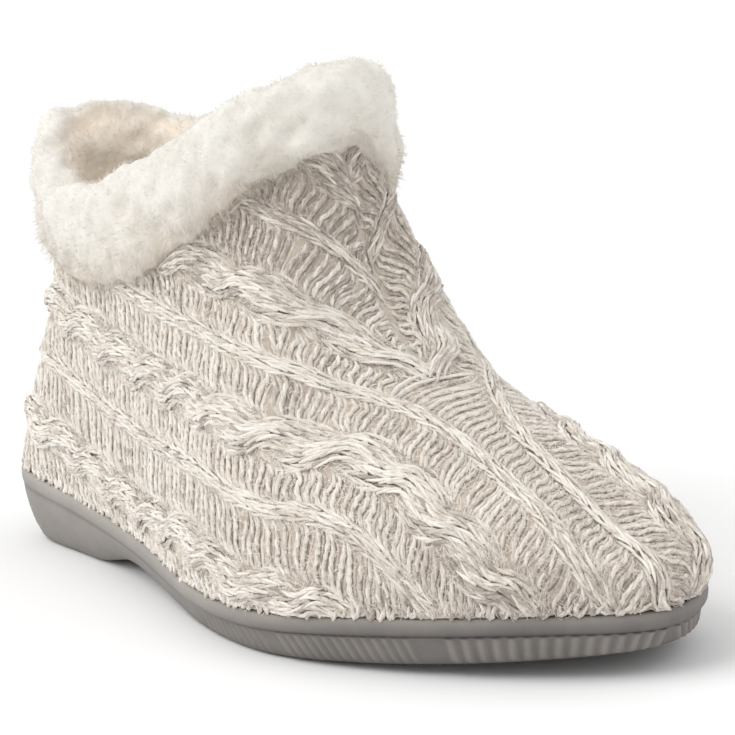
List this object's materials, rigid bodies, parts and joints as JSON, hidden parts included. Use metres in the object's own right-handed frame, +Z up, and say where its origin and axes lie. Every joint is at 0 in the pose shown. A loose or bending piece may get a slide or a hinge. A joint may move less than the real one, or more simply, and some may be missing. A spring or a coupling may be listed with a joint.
{
  "type": "house slipper",
  "caption": "Right-foot ankle-high house slipper: a hollow cable-knit upper on a moulded rubber unit sole, with a footbed inside and a fleece collar round the opening.",
  "frame": {"origin": "on the floor, under the middle of the sole's outline", "axes": "+X to the toe, +Y to the inner side of the foot, +Z up"},
  "size_m": [0.2545, 0.0988, 0.1451],
  "materials": {
    "sole_rubber": "matte moulded",
    "footbed_fleece": "short pile",
    "marled_knit": "cable knit",
    "cream_fleece": "curly pile"
  },
  "bodies": {
    "root": {"outsole": "sole_rubber", "insole": "footbed_fleece", "upper": "marled_knit", "collar": "cream_fleece"}
  },
  "joints": []
}
